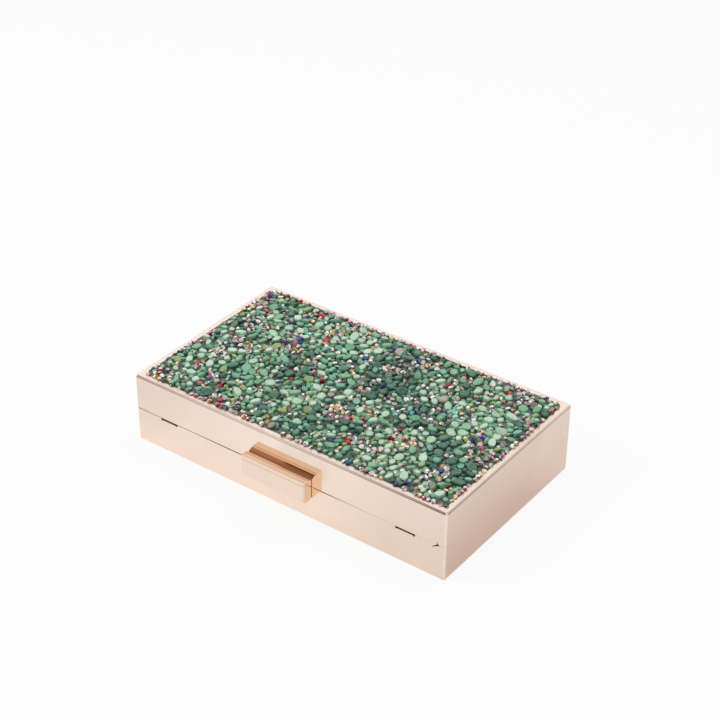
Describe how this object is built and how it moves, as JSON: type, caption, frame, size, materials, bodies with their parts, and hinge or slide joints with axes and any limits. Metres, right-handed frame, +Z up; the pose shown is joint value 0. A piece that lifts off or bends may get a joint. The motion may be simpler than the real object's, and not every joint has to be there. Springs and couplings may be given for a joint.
{
  "type": "hard box clutch",
  "caption": "Hard metal box clutch with a hinged lid, a panel of green stone chips and crystals, and a sprung two-bar clasp.",
  "frame": {"origin": "centre of the base's flat underside, on the surface that the box lies on", "axes": "+X along the long front side, -Y out of the clasp side, +Z up out of the stone panel"},
  "size_m": [0.181, 0.1198, 0.0392],
  "materials": {
    "base_shell": "satin rose gold plate with a fine brushed grain",
    "lid_shell": "satin rose gold plate with a fine brushed grain",
    "clasp_copper": "polished copper rose plate",
    "strip_brass": "plain stamped strip",
    "pin_steel": "drawn wire, bright",
    "stones": "tumbled green chips and faceted crystals in clear resin",
    "lining_satin": "satin over thin card"
  },
  "bodies": {
    "base": {"base_shell": "base_shell", "base_inner_lip": "strip_brass", "base_wall_lining": "lining_satin", "base_floor_pad": "lining_satin", "strap_anchor_left": "strip_brass", "strap_anchor_right": "strip_brass", "base_hinge_leaf": "strip_brass", "hinge_pin": "pin_steel", "catch_bracket": "strip_brass", "catch_pin": "pin_steel", "catch_spring_left": "pin_steel", "catch_spring_right": "pin_steel"},
    "lid": {"lid_shell": "lid_shell", "panel_plate": "strip_brass", "stone_panel": "stones", "lid_wall_lining": "lining_satin", "lid_pad": "lining_satin", "lid_hinge_leaf": "strip_brass", "lid_clasp_bar": "clasp_copper", "clasp_screw_left": "pin_steel", "clasp_screw_right": "pin_steel", "panel_clip_front_left": "strip_brass", "panel_clip_front_right": "strip_brass", "panel_clip_back_left": "strip_brass", "panel_clip_back_right": "strip_brass"},
    "catch": {"catch_bar": "clasp_copper"}
  },
  "joints": [
    {"name": "lid_hinge", "type": "hinge", "parent": "base", "child": "lid", "pos_m": [0, 0.0528, 0.0188], "axis": [-1, 0, 0], "range_deg": [0, 100]},
    {"name": "catch_tilt", "type": "hinge", "parent": "base", "child": "catch", "pos_m": [0.0042, -0.0616, 0.0182], "axis": [1, 0, 0], "range_deg": [0, 12], "stiffness_Nm_per_rad": 0.15}
  ]
}
